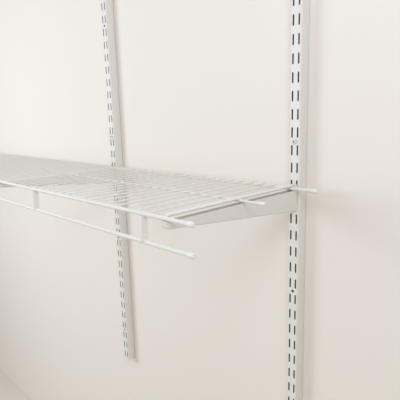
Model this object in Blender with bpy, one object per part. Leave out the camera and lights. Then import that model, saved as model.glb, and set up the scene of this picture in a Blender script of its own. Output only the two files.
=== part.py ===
# Wall mounted closet system.
# Slotted uprights hang on a track that is screwed to the wall. Folded brackets hook into the
# slots, and a ventilated wire shelf with a hanging rod rests on the brackets.
# Metres. +X runs right along the wall, +Y goes into it and +Z is up. The origin is the middle
# of the track's back face, which lies against the wall.

import math

import bmesh
import bpy
from mathutils import Matrix
from mathutils import Vector

# Clearances that every piece shares
SEAT_GAP = 0.0003
CUT_OVERRUN = 0.002
MERGE_DISTANCE = 0.00001

# Wire shelf
SHELF_LENGTH = 1.829
SHELF_OVERHANG = 0.0527
ROD_DIAMETER = 0.00635
MID_ROD_DIAMETER = 0.0042
FRONT_ROD_REACH = 0.3074
BACK_ROD_REACH = 0.0089
MID_ROD_PLACE_SHARE = 0.497
HANG_ROD_DROP = 0.0416
DECK_WIRE_DIAMETER = 0.0025
DECK_WIRE_PITCH = 0.0259
DECK_WIRE_INSET = 0.0335
DECK_REAR_OVERHANG = 0.0024
WELD_SINK = 0.0003
END_WIRE_DIAMETER = 0.0063
END_WIRE_SINK = 0.00125

# Flat straps that carry the hanging rod under the front rod
STRAP_WIDTH = 0.005
STRAP_DEPTH = 0.011
STRAP_PITCH = 0.352
STRAP_INSET = 0.1039
STRAP_SADDLE_RISE = 0.0009
STRAP_EDGE_RADIUS = 0.0008

# Push-on plastic caps on the rod ends, which widen towards a domed end
CAP_RIM_WALL = 0.0004
CAP_WALL = 0.0008
CAP_END_WALL = 0.0017
CAP_LENGTH = 0.013
CAP_DOME_RADIUS = 0.0026

# Slotted uprights, a folded channel that is open towards the wall
MIDDLE_UPRIGHT_SPACING = 0.5822
UPRIGHT_WIDTH = 0.022
UPRIGHT_DEPTH = 0.024
UPRIGHT_WALL = 0.0018
UPRIGHT_CORNER_RADIUS = 0.002
UPRIGHT_LENGTH = 1.2065
UPRIGHT_RISE_ABOVE_TRACK = 0.008
SLOT_PITCH = 0.03175
SLOT_LENGTH = 0.01855
SLOT_WIDTH = 0.0032
SLOT_END_FLAT = 0.0016
SLOT_COLUMN_SPACING = 0.01156
FIRST_HOLE_PITCHES = 8
HOLE_EVERY_PITCHES = 9
SCREW_PITCHES = FIRST_HOLE_PITCHES + HOLE_EVERY_PITCHES

# Hang track, a strip whose lower edge is folded forward and up
TRACK_OVERHANG = 0.0332
TRACK_HEIGHT = 0.032
TRACK_WALL = 0.0016
TRACK_HOOK_DEPTH = 0.008
TRACK_HOOK_HEIGHT = 0.010
TRACK_FOLD_RADIUS = 0.002
TRACK_HOLE_RISE = 0.005
UNHOOK_ROOM = 0.012
HOOK_FLOOR_GAP = 0.0008

# Screws
SCREW_HOLE_DIAMETER = 0.0055
SCREW_SHANK_DIAMETER = 0.0042
SCREW_HEAD_DIAMETER = 0.009
SCREW_HEAD_HEIGHT = 0.003
SCREW_HEAD_EDGE = 0.0011
SCREW_POINT_LENGTH = 0.006
SCREW_WALL_DEPTH = 0.034
TRACK_SCREW_INSET = 0.049
TRACK_SCREW_SPACING_LIMIT = 0.6096

# Brackets, folded from one sheet into a U that is open on top and at the rear
HOOK_SLOT = 19
BRACKET_WALL = 0.0015
BRACKET_NOSE_HEIGHT = 0.0097
BRACKET_NOSE_RADIUS = 0.004
BRACKET_FOLD_RADIUS = 0.002
NOSE_LIP_RISE = 0.0011
BRACKET_HEEL = 0.0072
NECK_DROP = 0.0005
NECK_HEIGHT = 0.0085
TONGUE_DROP = 0.005
TONGUE_DEPTH = 0.0029
TONGUE_CORNER_RADIUS = 0.0012

# How finely round shapes are faceted
ROD_SIDES = 16
MID_ROD_SIDES = 8
DECK_WIRE_SIDES = 8
CAP_SIDES = 12
SCREW_SIDES = 10
ARC_STEPS = 3
DOME_STEPS = 2
ROUND_PROFILE_SHARE = 0.5
SMOOTH_ANGLE = math.radians(35)

# Whole slots that fit the length
SLOT_COUNT = int((UPRIGHT_LENGTH + MERGE_DISTANCE) / SLOT_PITCH)

# Levels and places that follow from the sizes
UPRIGHT_TOP_Z = TRACK_HEIGHT / 2 + UPRIGHT_RISE_ABOVE_TRACK
UPRIGHT_BOTTOM_Z = UPRIGHT_TOP_Z - UPRIGHT_LENGTH
FIRST_SLOT_Z = UPRIGHT_TOP_Z - SLOT_PITCH / 2
UPRIGHT_SCREW_Z = UPRIGHT_TOP_Z - SLOT_PITCH * SCREW_PITCHES
UPRIGHT_REAR_Y = -SEAT_GAP
FACE_Y = -UPRIGHT_DEPTH
OUTER_UPRIGHT_X = SHELF_LENGTH / 2 - SHELF_OVERHANG
UPRIGHT_PLACES = {
    "right": OUTER_UPRIGHT_X,
    "middle": OUTER_UPRIGHT_X - MIDDLE_UPRIGHT_SPACING,
    "left": -OUTER_UPRIGHT_X,
}
ROD_RADIUS = ROD_DIAMETER / 2
HOOK_SLOT_LOW_Z = FIRST_SLOT_Z - SLOT_PITCH * HOOK_SLOT - SLOT_LENGTH / 2
NECK_LOW_Z = HOOK_SLOT_LOW_Z + SEAT_GAP
BRACKET_TOP_Z = NECK_LOW_Z + NECK_DROP
ROD_Z = BRACKET_TOP_Z + SEAT_GAP + ROD_RADIUS
DECK_BASE_Z = ROD_Z + ROD_RADIUS + SEAT_GAP
FRONT_ROD_Y = FACE_Y - FRONT_ROD_REACH
BACK_ROD_Y = FACE_Y - BACK_ROD_REACH
MID_ROD_Y = BACK_ROD_Y + (FRONT_ROD_Y - BACK_ROD_Y) * MID_ROD_PLACE_SHARE
MID_ROD_Z = DECK_BASE_Z + WELD_SINK - MID_ROD_DIAMETER / 2
HANG_ROD_Z = ROD_Z - HANG_ROD_DROP
DECK_REAR_Y = BACK_ROD_Y + DECK_REAR_OVERHANG
NOSE_BACK_Y = FRONT_ROD_Y - ROD_RADIUS - SEAT_GAP
NOSE_FRONT_Y = NOSE_BACK_Y - BRACKET_WALL
BRACKET_REAR_Y = FACE_Y - SEAT_GAP
NOSE_LOW_Z = BRACKET_TOP_Z - BRACKET_NOSE_HEIGHT
HEEL_LOW_Z = NECK_LOW_Z - SLOT_PITCH - BRACKET_HEEL
UNDERSIDE_SLOPE = (NOSE_LOW_Z - HEEL_LOW_Z) / (NOSE_FRONT_Y - BRACKET_REAR_Y)


# Scene helpers

def clear_scene():
    for old in list(bpy.data.objects):
        bpy.data.objects.remove(old, do_unlink=True)


def make_material(name, colour, roughness, metallic):
    material = bpy.data.materials.new(name)
    material.use_nodes = True
    shader = material.node_tree.nodes["Principled BSDF"]
    shader.inputs["Base Color"].default_value = (*colour, 1.0)
    shader.inputs["Roughness"].default_value = roughness
    shader.inputs["Metallic"].default_value = metallic
    return material


def make_mesh(name, bm, material):
    bmesh.ops.recalc_face_normals(bm, faces=bm.faces)
    mesh = bpy.data.meshes.new(name)
    bm.to_mesh(mesh)
    bm.free()
    mesh.materials.append(material)
    mesh.shade_smooth()
    mesh.set_sharp_from_angle(angle=SMOOTH_ANGLE)
    return mesh


def place(name, mesh, location, parent):
    piece = bpy.data.objects.new(name, mesh)
    bpy.context.scene.collection.objects.link(piece)
    piece.parent = parent
    piece.location = Vector(location) - parent.location if parent else Vector(location)
    return piece


def make_carrier(name, location):
    return place(name, None, location, None)


def combine(piece, other_mesh, operation):
    other = place(piece.name + "_" + operation.lower(), other_mesh, (0, 0, 0), None)
    other.parent = piece
    other.hide_render = True
    other.display_type = "WIRE"
    boolean = piece.modifiers.new(operation.lower(), "BOOLEAN")
    boolean.object = other
    boolean.operation = operation
    boolean.solver = "EXACT"


# Shape helpers

# An outline is a list of (u, v, radius) corners. The axis that it is extruded along says where
# u and v lie: along X they are Y and Z, along Y they are X and Z, along Z they are X and Y.
def in_space(axis, u, v, along):
    if axis == "X":
        return Vector((along, u, v))
    if axis == "Y":
        return Vector((u, along, v))
    return Vector((u, v, along))


def corner_arc(before, corner, after, radius):
    to_before = (before - corner).normalized()
    to_after = (after - corner).normalized()
    half_angle = to_before.angle(to_after) / 2
    run = radius / math.tan(half_angle)
    centre = corner + (to_before + to_after).normalized() * (radius / math.sin(half_angle))
    spoke = corner + to_before * run - centre
    turn = math.pi - 2 * half_angle
    if to_before.cross(to_after) > 0:
        turn = -turn
    points = []
    for step in range(ARC_STEPS + 1):
        points.append(centre + Matrix.Rotation(turn * step / ARC_STEPS, 2) @ spoke)
    return points


def rounded_outline(corners):
    points = []
    for index, (u, v, radius) in enumerate(corners):
        corner = Vector((u, v))
        if radius == 0:
            points.append(corner)
            continue
        before = Vector(corners[index - 1][:2])
        after = Vector(corners[(index + 1) % len(corners)][:2])
        points.extend(corner_arc(before, corner, after, radius))
    return points


def add_prism(bm, corners, axis, low, high):
    outline = rounded_outline(corners)
    face = bm.faces.new([bm.verts.new(in_space(axis, u, v, low)) for u, v in outline])
    grown = bmesh.ops.extrude_face_region(bm, geom=[face])["geom"]
    far_verts = [item for item in grown if isinstance(item, bmesh.types.BMVert)]
    bmesh.ops.translate(bm, verts=far_verts, vec=in_space(axis, 0, 0, high - low))


def add_bar(bm, start, end, diameter, sides):
    run = Vector(end) - Vector(start)
    middle = (Vector(start) + Vector(end)) / 2
    turn = run.to_track_quat("Z", "Y").to_matrix().to_4x4()
    bmesh.ops.create_cone(
        bm, cap_ends=True, segments=sides, radius1=diameter / 2, radius2=diameter / 2,
        depth=run.length, matrix=Matrix.Translation(middle) @ turn)


# The profile is a list of (distance along the axis, radius) that starts and ends on the axis.
def add_turned(bm, profile, base, direction, sides):
    turn = Vector(direction).to_track_quat("Z", "Y").to_matrix().to_4x4()
    matrix = Matrix.Translation(Vector(base)) @ turn
    verts = [bm.verts.new(matrix @ Vector((radius, 0, along))) for along, radius in profile]
    edges = [bm.edges.new(pair) for pair in zip(verts, verts[1:])]
    bmesh.ops.spin(
        bm, geom=verts + edges, cent=Vector(base), axis=Vector(direction), dvec=(0, 0, 0),
        angle=2 * math.pi, steps=sides, use_merge=True, use_duplicate=False)
    bmesh.ops.remove_doubles(bm, verts=bm.verts, dist=MERGE_DISTANCE)


# Hang track and its screws

def track_screw_places():
    places = []
    uprights = sorted(UPRIGHT_PLACES.values())
    for left, right in zip(uprights, uprights[1:]):
        first = left + TRACK_SCREW_INSET
        run = right - TRACK_SCREW_INSET - first
        spaces = max(1, math.ceil(run / TRACK_SCREW_SPACING_LIMIT))
        places.extend(first + run * step / spaces for step in range(spaces + 1))
    return places


def make_hang_track(parent, coat):
    half_length = OUTER_UPRIGHT_X + TRACK_OVERHANG
    top = TRACK_HEIGHT / 2
    floor = -top + TRACK_WALL
    inner_radius = TRACK_FOLD_RADIUS - TRACK_WALL
    lip_top = -top + TRACK_HOOK_HEIGHT
    section = [
        (0, -top, TRACK_FOLD_RADIUS),
        (0, top, 0),
        (-TRACK_WALL, top, 0),
        (-TRACK_WALL, floor, inner_radius),
        (TRACK_WALL - TRACK_HOOK_DEPTH, floor, inner_radius),
        (TRACK_WALL - TRACK_HOOK_DEPTH, lip_top, 0),
        (-TRACK_HOOK_DEPTH, lip_top, 0),
        (-TRACK_HOOK_DEPTH, -top, TRACK_FOLD_RADIUS),
    ]
    bm = bmesh.new()
    add_prism(bm, section, "X", -half_length, half_length)
    track = place("hang_track", make_mesh("hang_track", bm, coat), (0, 0, 0), parent)

    holes = bmesh.new()
    for x in track_screw_places():
        front = (x, -TRACK_WALL - CUT_OVERRUN, TRACK_HOLE_RISE)
        back = (x, CUT_OVERRUN, TRACK_HOLE_RISE)
        add_bar(holes, front, back, SCREW_HOLE_DIAMETER, SCREW_SIDES)
    combine(track, make_mesh("track_holes", holes, coat), "DIFFERENCE")


# A pan head screw, driven along +Y, whose head seats on a face.
def make_screw_mesh(name, length, steel):
    head_radius = SCREW_HEAD_DIAMETER / 2
    shank_radius = SCREW_SHANK_DIAMETER / 2
    profile = [
        (-SCREW_HEAD_HEIGHT, 0),
        (-SCREW_HEAD_HEIGHT, head_radius - SCREW_HEAD_EDGE),
        (-SCREW_HEAD_EDGE, head_radius),
        (0, head_radius),
        (0, shank_radius),
        (length - SCREW_POINT_LENGTH, shank_radius),
        (length, 0),
    ]
    bm = bmesh.new()
    add_turned(bm, profile, (0, 0, 0), (0, 1, 0), SCREW_SIDES)
    return make_mesh(name, bm, steel)


def make_track_screws(parent, steel):
    mesh = make_screw_mesh("track_screw", TRACK_WALL + SCREW_WALL_DEPTH, steel)
    head_seat_y = -TRACK_WALL - SEAT_GAP
    for number, x in enumerate(track_screw_places(), start=1):
        place("track_screw_" + str(number), mesh, (x, head_seat_y, TRACK_HOLE_RISE), parent)


# Uprights

def fixing_hole_levels():
    rows = range(FIRST_HOLE_PITCHES, SLOT_COUNT, HOLE_EVERY_PITCHES)
    return [UPRIGHT_TOP_Z - SLOT_PITCH * row for row in rows]


def slot_corners(x, z):
    half_width = SLOT_WIDTH / 2
    half_flat = SLOT_END_FLAT / 2
    half_length = SLOT_LENGTH / 2
    straight = half_length - (half_width - half_flat)
    corners = []
    for side, end in ((-1, -1), (1, -1), (1, 1), (-1, 1)):
        flank = (x + side * half_width, z + end * straight, 0)
        tip = (x + side * half_flat, z + end * half_length, 0)
        corners.extend((flank, tip) if side == end else (tip, flank))
    return corners


# The side walls are cut out round the track's hook: a narrow slot goes up over the lip, and
# there is room below it to lift the upright off.
def track_notch_corners():
    track_low = -TRACK_HEIGHT / 2
    lip_front = -TRACK_HOOK_DEPTH - SEAT_GAP
    lip_back = TRACK_WALL - TRACK_HOOK_DEPTH + SEAT_GAP
    lip_top = track_low + TRACK_HOOK_HEIGHT + SEAT_GAP
    hook_low = track_low + TRACK_WALL + HOOK_FLOOR_GAP
    strip_front = -TRACK_WALL - SEAT_GAP
    strip_top = TRACK_HEIGHT / 2 + SEAT_GAP
    return [
        (CUT_OVERRUN, track_low - UNHOOK_ROOM, 0),
        (CUT_OVERRUN, strip_top, 0),
        (strip_front, strip_top, 0),
        (strip_front, hook_low, 0),
        (lip_back, hook_low, 0),
        (lip_back, lip_top, 0),
        (lip_front, lip_top, 0),
        (lip_front, track_low - UNHOOK_ROOM, 0),
    ]


def make_upright_meshes(coat):
    half_width = UPRIGHT_WIDTH / 2
    inner = half_width - UPRIGHT_WALL
    section = [
        (-half_width, UPRIGHT_REAR_Y, 0),
        (-half_width, FACE_Y, UPRIGHT_CORNER_RADIUS),
        (half_width, FACE_Y, UPRIGHT_CORNER_RADIUS),
        (half_width, UPRIGHT_REAR_Y, 0),
        (inner, UPRIGHT_REAR_Y, 0),
        (inner, FACE_Y + UPRIGHT_WALL, 0),
        (-inner, FACE_Y + UPRIGHT_WALL, 0),
        (-inner, UPRIGHT_REAR_Y, 0),
    ]
    bm = bmesh.new()
    add_prism(bm, section, "Z", UPRIGHT_BOTTOM_Z, UPRIGHT_TOP_Z)
    channel = make_mesh("upright", bm, coat)

    cuts = bmesh.new()
    front = FACE_Y - CUT_OVERRUN
    back = FACE_Y + UPRIGHT_WALL + CUT_OVERRUN
    for row in range(SLOT_COUNT):
        z = FIRST_SLOT_Z - SLOT_PITCH * row
        for side in (-1, 1):
            x = side * SLOT_COLUMN_SPACING / 2
            add_prism(cuts, slot_corners(x, z), "Y", front, back)
    for z in fixing_hole_levels():
        add_bar(cuts, (0, front, z), (0, back, z), SCREW_HOLE_DIAMETER, SCREW_SIDES)
    overrun_width = half_width + CUT_OVERRUN
    add_prism(cuts, track_notch_corners(), "X", -overrun_width, overrun_width)
    return channel, make_mesh("upright_cuts", cuts, coat)


def make_uprights(parent, coat):
    channel, cuts = make_upright_meshes(coat)
    for side, x in UPRIGHT_PLACES.items():
        upright = place(side + "_upright", channel, (x, 0, 0), parent)
        combine(upright, cuts, "DIFFERENCE")


def make_upright_screws(parent, steel):
    mesh = make_screw_mesh("upright_screw", UPRIGHT_DEPTH + SCREW_WALL_DEPTH, steel)
    for side, x in UPRIGHT_PLACES.items():
        place(side + "_upright_screw", mesh, (x, FACE_Y - SEAT_GAP, UPRIGHT_SCREW_Z), parent)


# Brackets. Their outlines are drawn from the slot's lower end and the upright's face.

def underside_z(y):
    return HEEL_LOW_Z + UNDERSIDE_SLOPE * (y - BRACKET_REAR_Y)


def hook_corners(neck_low):
    tongue_front = FACE_Y + UPRIGHT_WALL + SEAT_GAP
    tongue_back = tongue_front + TONGUE_DEPTH
    tongue_low = neck_low - TONGUE_DROP
    neck_top = neck_low + NECK_HEIGHT
    return [
        (BRACKET_REAR_Y, neck_low, 0),
        (tongue_front, neck_low, 0),
        (tongue_front, tongue_low, 0),
        (tongue_back, tongue_low, TONGUE_CORNER_RADIUS),
        (tongue_back, neck_top, TONGUE_CORNER_RADIUS),
    ]


def bracket_corners():
    lower_neck = NECK_LOW_Z - SLOT_PITCH
    lip_top = BRACKET_TOP_Z + NOSE_LIP_RISE
    ear_front = BACK_ROD_Y + ROD_RADIUS + SEAT_GAP
    corners = [
        (NOSE_FRONT_Y, lip_top, 0),
        (NOSE_FRONT_Y, underside_z(NOSE_FRONT_Y), BRACKET_NOSE_RADIUS),
        (BRACKET_REAR_Y, underside_z(BRACKET_REAR_Y), 0),
    ]
    corners.extend(hook_corners(lower_neck))
    corners.append((BRACKET_REAR_Y, lower_neck + NECK_HEIGHT, 0))
    corners.extend(hook_corners(NECK_LOW_Z))
    corners.extend([
        (ear_front, NECK_LOW_Z + NECK_HEIGHT, TONGUE_CORNER_RADIUS),
        (ear_front, BRACKET_TOP_Z, 0),
        (NOSE_BACK_Y, BRACKET_TOP_Z, 0),
        (NOSE_BACK_Y, lip_top, 0),
    ])
    return corners


# What is cut out between the two sides leaves the web below and the nose in front, and runs
# out over the top and past the tongues.
def bracket_hollow_corners():
    web = BRACKET_WALL * math.sqrt(1 + UNDERSIDE_SLOPE * UNDERSIDE_SLOPE)
    rear = FACE_Y + UPRIGHT_WALL + SEAT_GAP + TONGUE_DEPTH + CUT_OVERRUN
    top = NECK_LOW_Z + NECK_HEIGHT + CUT_OVERRUN
    return [
        (NOSE_BACK_Y, top, 0),
        (NOSE_BACK_Y, underside_z(NOSE_BACK_Y) + web, BRACKET_NOSE_RADIUS - BRACKET_WALL),
        (rear, underside_z(rear) + web, 0),
        (rear, top, 0),
    ]


# The sheet is folded along the underside and round the nose.
def is_on_fold(vert):
    y, z = vert.co.y, vert.co.z
    on_nose = y < NOSE_FRONT_Y + MERGE_DISTANCE
    on_underside = y < BRACKET_REAR_Y + MERGE_DISTANCE and z < underside_z(y) + BRACKET_NOSE_RADIUS
    return on_nose or on_underside


def fold_edges(bm):
    folds = []
    for edge in bm.edges:
        first, second = edge.verts
        same_side = first.co.x * second.co.x > 0
        along = abs(first.co.y - second.co.y) + abs(first.co.z - second.co.z) > MERGE_DISTANCE
        if same_side and along and is_on_fold(first) and is_on_fold(second):
            folds.append(edge)
    return folds


def make_brackets(carriers, coat):
    half_width = (SLOT_COLUMN_SPACING + BRACKET_WALL) / 2
    bm = bmesh.new()
    add_prism(bm, bracket_corners(), "X", -half_width, half_width)
    bmesh.ops.bevel(
        bm, geom=fold_edges(bm), offset=BRACKET_FOLD_RADIUS, offset_type="OFFSET", affect="EDGES",
        segments=ARC_STEPS, profile=ROUND_PROFILE_SHARE)
    shell = make_mesh("bracket", bm, coat)

    hollow = bmesh.new()
    half_hollow = half_width - BRACKET_WALL
    add_prism(hollow, bracket_hollow_corners(), "X", -half_hollow, half_hollow)
    hollow_mesh = make_mesh("bracket_hollow", hollow, coat)
    for side, carrier in carriers.items():
        bracket = place(side + "_bracket", shell, (UPRIGHT_PLACES[side], 0, 0), carrier)
        combine(bracket, hollow_mesh, "DIFFERENCE")


# Wire shelf

# The deck wires are welded onto the middle rod, so the two are one piece.
RODS = {
    "front_rod": (FRONT_ROD_Y, ROD_Z, ROD_DIAMETER, ROD_SIDES),
    "hang_rod": (FRONT_ROD_Y, HANG_ROD_Z, ROD_DIAMETER, ROD_SIDES),
    "deck_grid": (MID_ROD_Y, MID_ROD_Z, MID_ROD_DIAMETER, MID_ROD_SIDES),
    "back_rod": (BACK_ROD_Y, ROD_Z, ROD_DIAMETER, ROD_SIDES),
}


def make_rods(parent, coat):
    half_length = SHELF_LENGTH / 2 - CAP_END_WALL - SEAT_GAP
    pieces = {}
    for name, (y, z, diameter, sides) in RODS.items():
        bm = bmesh.new()
        add_bar(bm, (-half_length, 0, 0), (half_length, 0, 0), diameter, sides)
        pieces[name] = place(name, make_mesh(name, bm, coat), (0, y, z), parent)
    return pieces


# A quarter round from the flat middle of a cap's end out to its side
def dome_points(outside):
    points = []
    for step in range(DOME_STEPS + 1):
        angle = math.pi / 2 * step / DOME_STEPS
        along = CAP_DOME_RADIUS * (1 - math.cos(angle))
        points.append((along, outside - CAP_DOME_RADIUS * (1 - math.sin(angle))))
    return points


def make_rod_caps(parent, plastic):
    for name, (y, z, diameter, _) in RODS.items():
        bore = diameter / 2 + SEAT_GAP
        profile = [(0, 0)]
        profile.extend(dome_points(bore + CAP_WALL))
        profile.extend([
            (CAP_LENGTH, bore + CAP_RIM_WALL),
            (CAP_LENGTH, bore),
            (CAP_END_WALL, bore),
            (CAP_END_WALL, 0),
        ])
        for side, sign in (("right", 1), ("left", -1)):
            bm = bmesh.new()
            add_turned(bm, profile, (0, 0, 0), (-sign, 0, 0), CAP_SIDES)
            cap_name = name.replace("deck_grid", "mid_rod") + "_cap_" + side
            end = (sign * SHELF_LENGTH / 2, y, z)
            place(cap_name, make_mesh(cap_name, bm, plastic), end, parent)


# A wire across the deck, drawn from the point of the middle rod's centre line under it.
def add_deck_bar(bm, x, underside, diameter, sides):
    z = underside + diameter / 2 - MID_ROD_Z
    front = (x, FRONT_ROD_Y - MID_ROD_Y, z)
    rear = (x, DECK_REAR_Y - MID_ROD_Y, z)
    add_bar(bm, front, rear, diameter, sides)


def make_deck_wires(mid_rod, coat):
    bm = bmesh.new()
    first = OUTER_UPRIGHT_X - DECK_WIRE_INSET
    spaces = round(2 * first / DECK_WIRE_PITCH)
    for step in range(spaces + 1):
        x = first - DECK_WIRE_PITCH * step
        add_deck_bar(bm, x, DECK_BASE_Z, DECK_WIRE_DIAMETER, DECK_WIRE_SIDES)
    combine(mid_rod, make_mesh("deck_wires", bm, coat), "UNION")


# The thicker end wires lie deeper than the deck wires, notched over the rods that carry them.
def make_end_wires(parent, coat):
    notches = bmesh.new()
    half_run = END_WIRE_DIAMETER / 2 + CUT_OVERRUN
    for rod in ("front_rod", "deck_grid", "back_rod"):
        rod_y, rod_z, diameter, sides = RODS[rod]
        y, z = rod_y - MID_ROD_Y, rod_z - MID_ROD_Z
        add_bar(notches, (-half_run, y, z), (half_run, y, z), diameter + 2 * SEAT_GAP, sides)
    notch_mesh = make_mesh("end_wire_notches", notches, coat)
    for side, x in (("right", OUTER_UPRIGHT_X), ("left", -OUTER_UPRIGHT_X)):
        bm = bmesh.new()
        add_deck_bar(bm, 0, DECK_BASE_Z - END_WIRE_SINK, END_WIRE_DIAMETER, ROD_SIDES)
        name = side + "_end_wire"
        end_wire = place(name, make_mesh(name, bm, coat), (x, MID_ROD_Y, MID_ROD_Z), parent)
        combine(end_wire, notch_mesh, "DIFFERENCE")


# A saddle is the hollow end of a strap, which follows the rod that it is welded to.
def saddle_points(level, facing):
    radius = ROD_RADIUS + SEAT_GAP
    rim = ROD_RADIUS - STRAP_SADDLE_RISE
    reach = math.acos(rim / radius)
    points = []
    for step in range(-ARC_STEPS, ARC_STEPS + 1):
        angle = reach * step / ARC_STEPS
        points.append((radius * math.sin(angle), level + facing * radius * math.cos(angle), 0))
    return points


def strap_corners():
    half_depth = STRAP_DEPTH / 2
    rim = ROD_RADIUS - STRAP_SADDLE_RISE
    lower_rim = rim - HANG_ROD_DROP
    corners = [
        (-half_depth, lower_rim, STRAP_EDGE_RADIUS),
    ]
    corners.extend(saddle_points(-HANG_ROD_DROP, 1))
    corners.append((half_depth, lower_rim, STRAP_EDGE_RADIUS))
    corners.append((half_depth, -rim, STRAP_EDGE_RADIUS))
    corners.extend(reversed(saddle_points(0, -1)))
    corners.append((-half_depth, -rim, STRAP_EDGE_RADIUS))
    return corners


def make_straps(parent, coat):
    bm = bmesh.new()
    add_prism(bm, strap_corners(), "X", -STRAP_WIDTH / 2, STRAP_WIDTH / 2)
    mesh = make_mesh("hang_strap", bm, coat)
    first = SHELF_LENGTH / 2 - STRAP_INSET
    spaces = int((SHELF_LENGTH - 2 * STRAP_INSET) / STRAP_PITCH)
    for step in range(spaces + 1):
        x = first - STRAP_PITCH * step
        place("hang_strap_" + str(step + 1), mesh, (x, FRONT_ROD_Y, ROD_Z), parent)


def build():
    clear_scene()
    upright_coat = make_material("upright_coat", (0.78, 0.77, 0.74), 0.42, 0.0)
    bracket_coat = make_material("bracket_coat", (0.77, 0.76, 0.72), 0.42, 0.0)
    wire_coat = make_material("wire_coat", (0.82, 0.81, 0.78), 0.32, 0.0)
    cap_plastic = make_material("cap_plastic", (0.80, 0.79, 0.75), 0.48, 0.0)
    screw_steel = make_material("screw_steel", (0.72, 0.71, 0.68), 0.35, 0.4)

    wall_frame = make_carrier("wall_frame", (0, 0, 0))
    make_hang_track(wall_frame, upright_coat)
    make_track_screws(wall_frame, screw_steel)
    make_uprights(wall_frame, upright_coat)
    make_upright_screws(wall_frame, screw_steel)

    carriers = {}
    for side, x in UPRIGHT_PLACES.items():
        carriers[side] = make_carrier(side + "_bracket_lift", (x, FACE_Y, NECK_LOW_Z))
    make_brackets(carriers, bracket_coat)

    shelf = make_carrier("shelf_lift", (0, FRONT_ROD_Y, ROD_Z))
    rods = make_rods(shelf, wire_coat)
    make_deck_wires(rods["deck_grid"], wire_coat)
    make_end_wires(shelf, wire_coat)
    make_rod_caps(shelf, cap_plastic)
    make_straps(shelf, wire_coat)
    bpy.context.view_layer.update()


build()
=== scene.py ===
import math
import random

import bmesh
import bpy
from mathutils import Matrix, Vector


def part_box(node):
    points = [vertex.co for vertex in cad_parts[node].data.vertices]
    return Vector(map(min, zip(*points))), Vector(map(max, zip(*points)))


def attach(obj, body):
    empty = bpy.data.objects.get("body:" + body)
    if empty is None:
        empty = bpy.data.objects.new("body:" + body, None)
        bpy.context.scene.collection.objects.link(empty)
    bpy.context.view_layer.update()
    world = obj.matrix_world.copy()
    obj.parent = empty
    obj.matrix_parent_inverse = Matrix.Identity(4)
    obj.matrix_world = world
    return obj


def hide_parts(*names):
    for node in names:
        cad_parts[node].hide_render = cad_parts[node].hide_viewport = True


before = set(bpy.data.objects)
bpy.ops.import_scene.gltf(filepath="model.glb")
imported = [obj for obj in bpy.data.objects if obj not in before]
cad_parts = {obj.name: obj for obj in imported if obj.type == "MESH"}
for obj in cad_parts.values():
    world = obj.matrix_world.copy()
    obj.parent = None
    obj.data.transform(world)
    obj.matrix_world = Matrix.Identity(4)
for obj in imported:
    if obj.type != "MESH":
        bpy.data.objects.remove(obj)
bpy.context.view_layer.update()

mm = 0.001
overrun = 2 * mm         # how far a cutting shape stands out of what it cuts
print("frame loaded:", len(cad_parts), "nodes")


# Small tools

def linearValue(value):
    return value / 12.92 if value <= 0.04045 else ((value + 0.055) / 1.055) ** 2.4


def hexColour(code):
    # sRGB hex to the linear values that shaders use
    return (*[linearValue(int(code[i:i + 2], 16) / 255) for i in (1, 3, 5)], 1.0)


def addNode(tree, kind, settings=None, links=None):
    # a setting or link goes to the input of that name or number, else to the node's own option
    made = tree.nodes.new(kind)
    for key, value in (settings or {}).items():
        if isinstance(key, int) or key in made.inputs:
            made.inputs[key].default_value = value
        else:
            setattr(made, key, value)
    for key, source in (links or {}).items():
        tree.links.new(source, made.inputs[key])
    return made


def finishMesh(name, bm, material, sharpAngle=35):
    bmesh.ops.recalc_face_normals(bm, faces=bm.faces)
    mesh = bpy.data.meshes.new(name)
    bm.to_mesh(mesh)
    bm.free()
    mesh.materials.append(material)
    mesh.shade_smooth()
    mesh.set_sharp_from_angle(angle=math.radians(sharpAngle))
    return mesh


def addPiece(name, mesh, body, node, at=(0, 0, 0)):
    piece = bpy.data.objects.new(name, mesh)
    bpy.context.scene.collection.objects.link(piece)
    piece.location = at
    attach(piece, body)
    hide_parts(node)
    return piece


def middleX(low, high):
    return (low.x + high.x) / 2


def circlePoints(x, z, radius, sides):
    spokes = [2 * math.pi * i / sides for i in range(sides)]
    return [(x + radius * math.cos(angle), z + radius * math.sin(angle)) for angle in spokes]


def soften(piece, width, segments=2, angle=32):
    # rolls over the sheared edges so that they catch the light
    bevel = piece.modifiers.new("soften", "BEVEL")
    bevel.width = width
    bevel.segments = segments
    bevel.limit_method = "ANGLE"
    bevel.angle_limit = math.radians(angle)
    bevel.miter_outer = "MITER_ARC"
    bevel.harden_normals = True


def carved(name, mesh, cutter):
    # the mesh with the cutter taken out of it
    block = bpy.data.objects.new(name, mesh)
    tool = bpy.data.objects.new(name + "Tool", cutter)
    for thing in (block, tool):
        bpy.context.scene.collection.objects.link(thing)
    cut = block.modifiers.new("cut", "BOOLEAN")
    cut.object = tool
    cut.operation = "DIFFERENCE"
    cut.solver = "EXACT"
    graph = bpy.context.evaluated_depsgraph_get()
    result = bpy.data.meshes.new_from_object(block.evaluated_get(graph), depsgraph=graph)
    result.name = name
    for thing in (block, tool):
        bpy.data.objects.remove(thing)
    return result


def roundCorners(corners, steps):
    # corners are (u, v, radius); each becomes an arc of that radius
    points = []
    for i, (u, v, radius) in enumerate(corners):
        corner = Vector((u, v))
        if not radius:
            points.append(corner)
            continue
        toLast = (Vector(corners[i - 1][:2]) - corner).normalized()
        toNext = (Vector(corners[(i + 1) % len(corners)][:2]) - corner).normalized()
        half = toLast.angle(toNext) / 2
        centre = corner + (toLast + toNext).normalized() * (radius / math.sin(half))
        spoke = corner + toLast * (radius / math.tan(half)) - centre
        turn = math.pi - 2 * half
        if toLast.cross(toNext) > 0:
            turn = -turn
        for step in range(steps + 1):
            points.append(centre + Matrix.Rotation(turn * step / steps, 2) @ spoke)
    return points


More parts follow.
